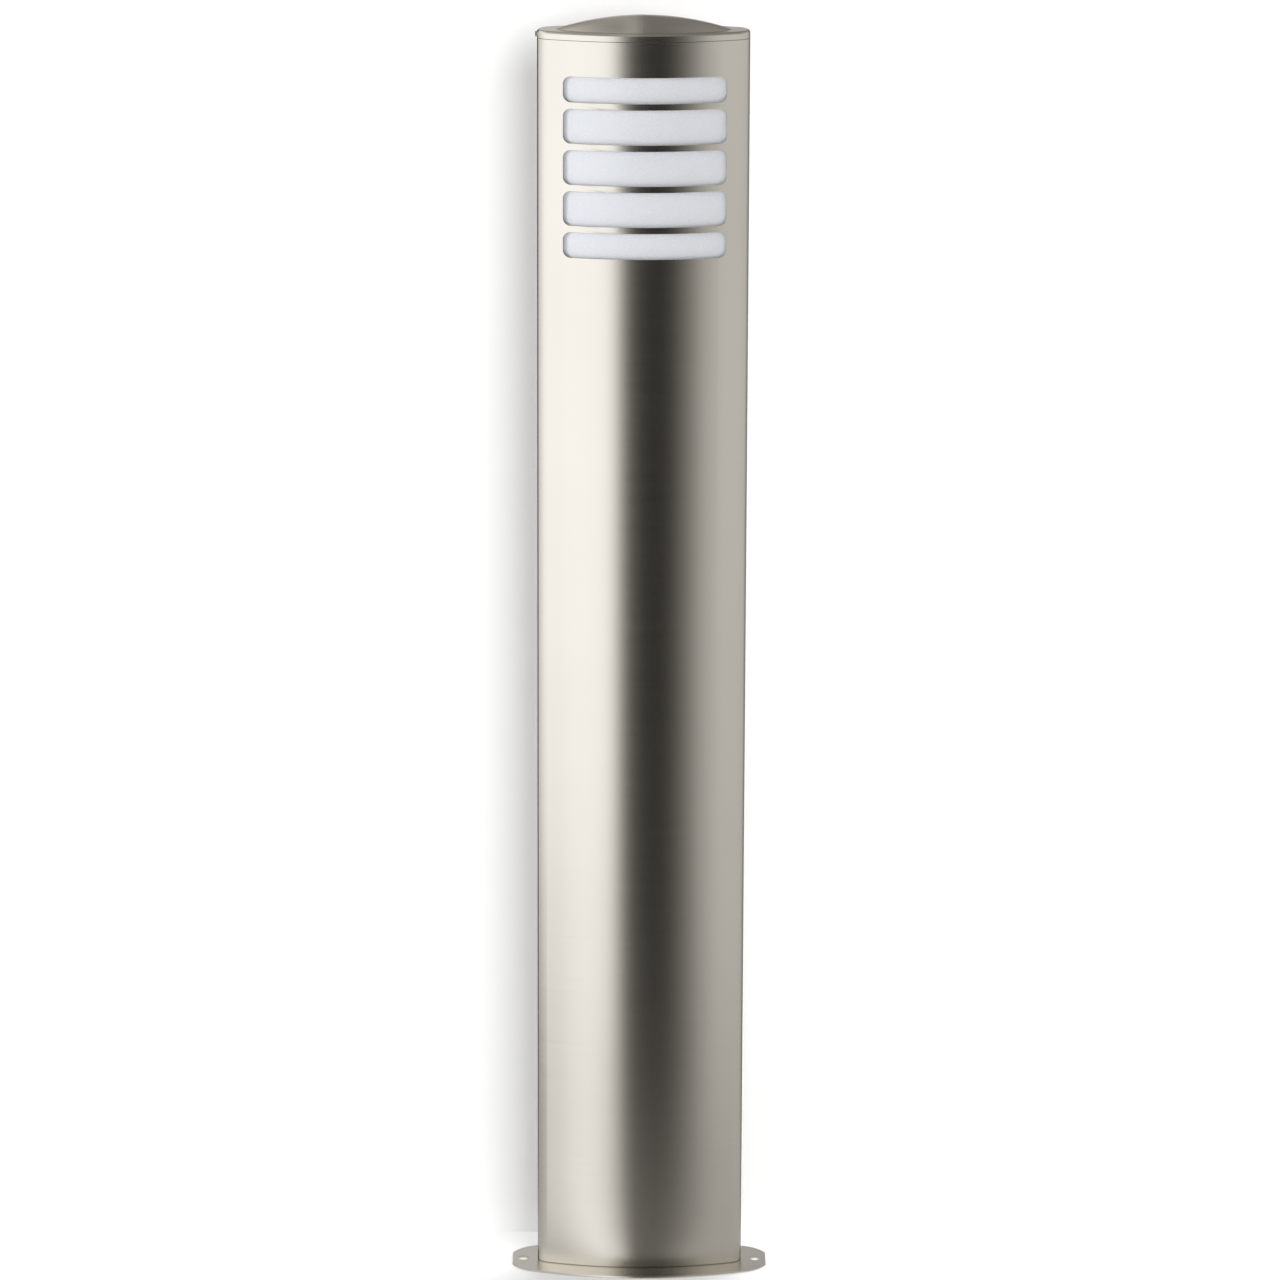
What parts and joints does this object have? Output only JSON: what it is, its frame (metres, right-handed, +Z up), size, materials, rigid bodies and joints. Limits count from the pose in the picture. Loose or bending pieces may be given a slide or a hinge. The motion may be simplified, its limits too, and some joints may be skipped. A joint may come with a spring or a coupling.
{
  "type": "bollard light",
  "caption": "Flat-oval brushed steel bollard light with horizontal light slots over an opal diffuser, a crowned lid that lifts off, a plug-in lamp and a base plate.",
  "frame": {"origin": "centre of the base plate underside", "axes": "+Z up along the post, -Y the way the light slots face, +X to the right of someone who looks at the slots"},
  "size_m": [0.159, 0.064, 0.799],
  "materials": {
    "stainless": "satin, brushed across",
    "opal": "opal, satin",
    "rubber": "matt",
    "white_coat": "white powder coat",
    "galvanised": "galvanised sheet",
    "zinc": "zinc plated",
    "white_plastic": "moulded",
    "frosted_glass": "white coated inside",
    "brass": "bare",
    "grey_plastic": "moulded",
    "circuit": "resin board",
    "dark_parts": "moulded",
    "lead_sheath": "matt",
    "earth_sheath": "green"
  },
  "bodies": {
    "post": {"base_plate": "stainless", "post_tube": "stainless", "foot_weld": "stainless", "cable_grommet": "rubber", "lid_collar": "galvanised", "lid_gasket": "rubber", "diffuser": "opal", "window_gasket": "rubber", "diffuser_rail_right": "galvanised", "diffuser_rail_left": "galvanised", "chamber_floor": "galvanised", "floor_bracket_right": "galvanised", "floor_bracket_left": "galvanised", "floor_screws": "zinc", "reflector": "white_coat", "lampholder": "white_plastic", "lampholder_screws": "zinc", "lampholder_nuts": "zinc", "gear_tray": "galvanised", "tray_screws": "zinc", "tray_nuts": "zinc", "ballast_pan": "grey_plastic", "ballast_cover": "grey_plastic", "ballast_board": "circuit", "ballast_components": "dark_parts", "ballast_screws": "zinc", "terminal_block": "white_plastic", "terminal_screws": "brass", "terminal_fixings": "zinc", "cord_grip": "white_plastic", "cord_grip_screws": "zinc", "earth_ring": "brass", "earth_screw": "brass", "earth_lead": "earth_sheath", "lamp_lead": "lead_sheath", "supply_lead": "lead_sheath"},
    "lid": {"lid": "stainless", "lid_screw": "zinc"},
    "lamp": {"lamp_base": "white_plastic", "lamp_pins": "brass", "lamp_tubes": "frosted_glass"}
  },
  "joints": [
    {"name": "lid_lift", "type": "slide", "parent": "post", "child": "lid", "axis": [0, 0, 1], "range_m": [0, 0.06]},
    {"name": "lamp_pull", "type": "slide", "parent": "post", "child": "lamp", "axis": [0, 0, 1], "range_m": [0, 0.022]}
  ]
}
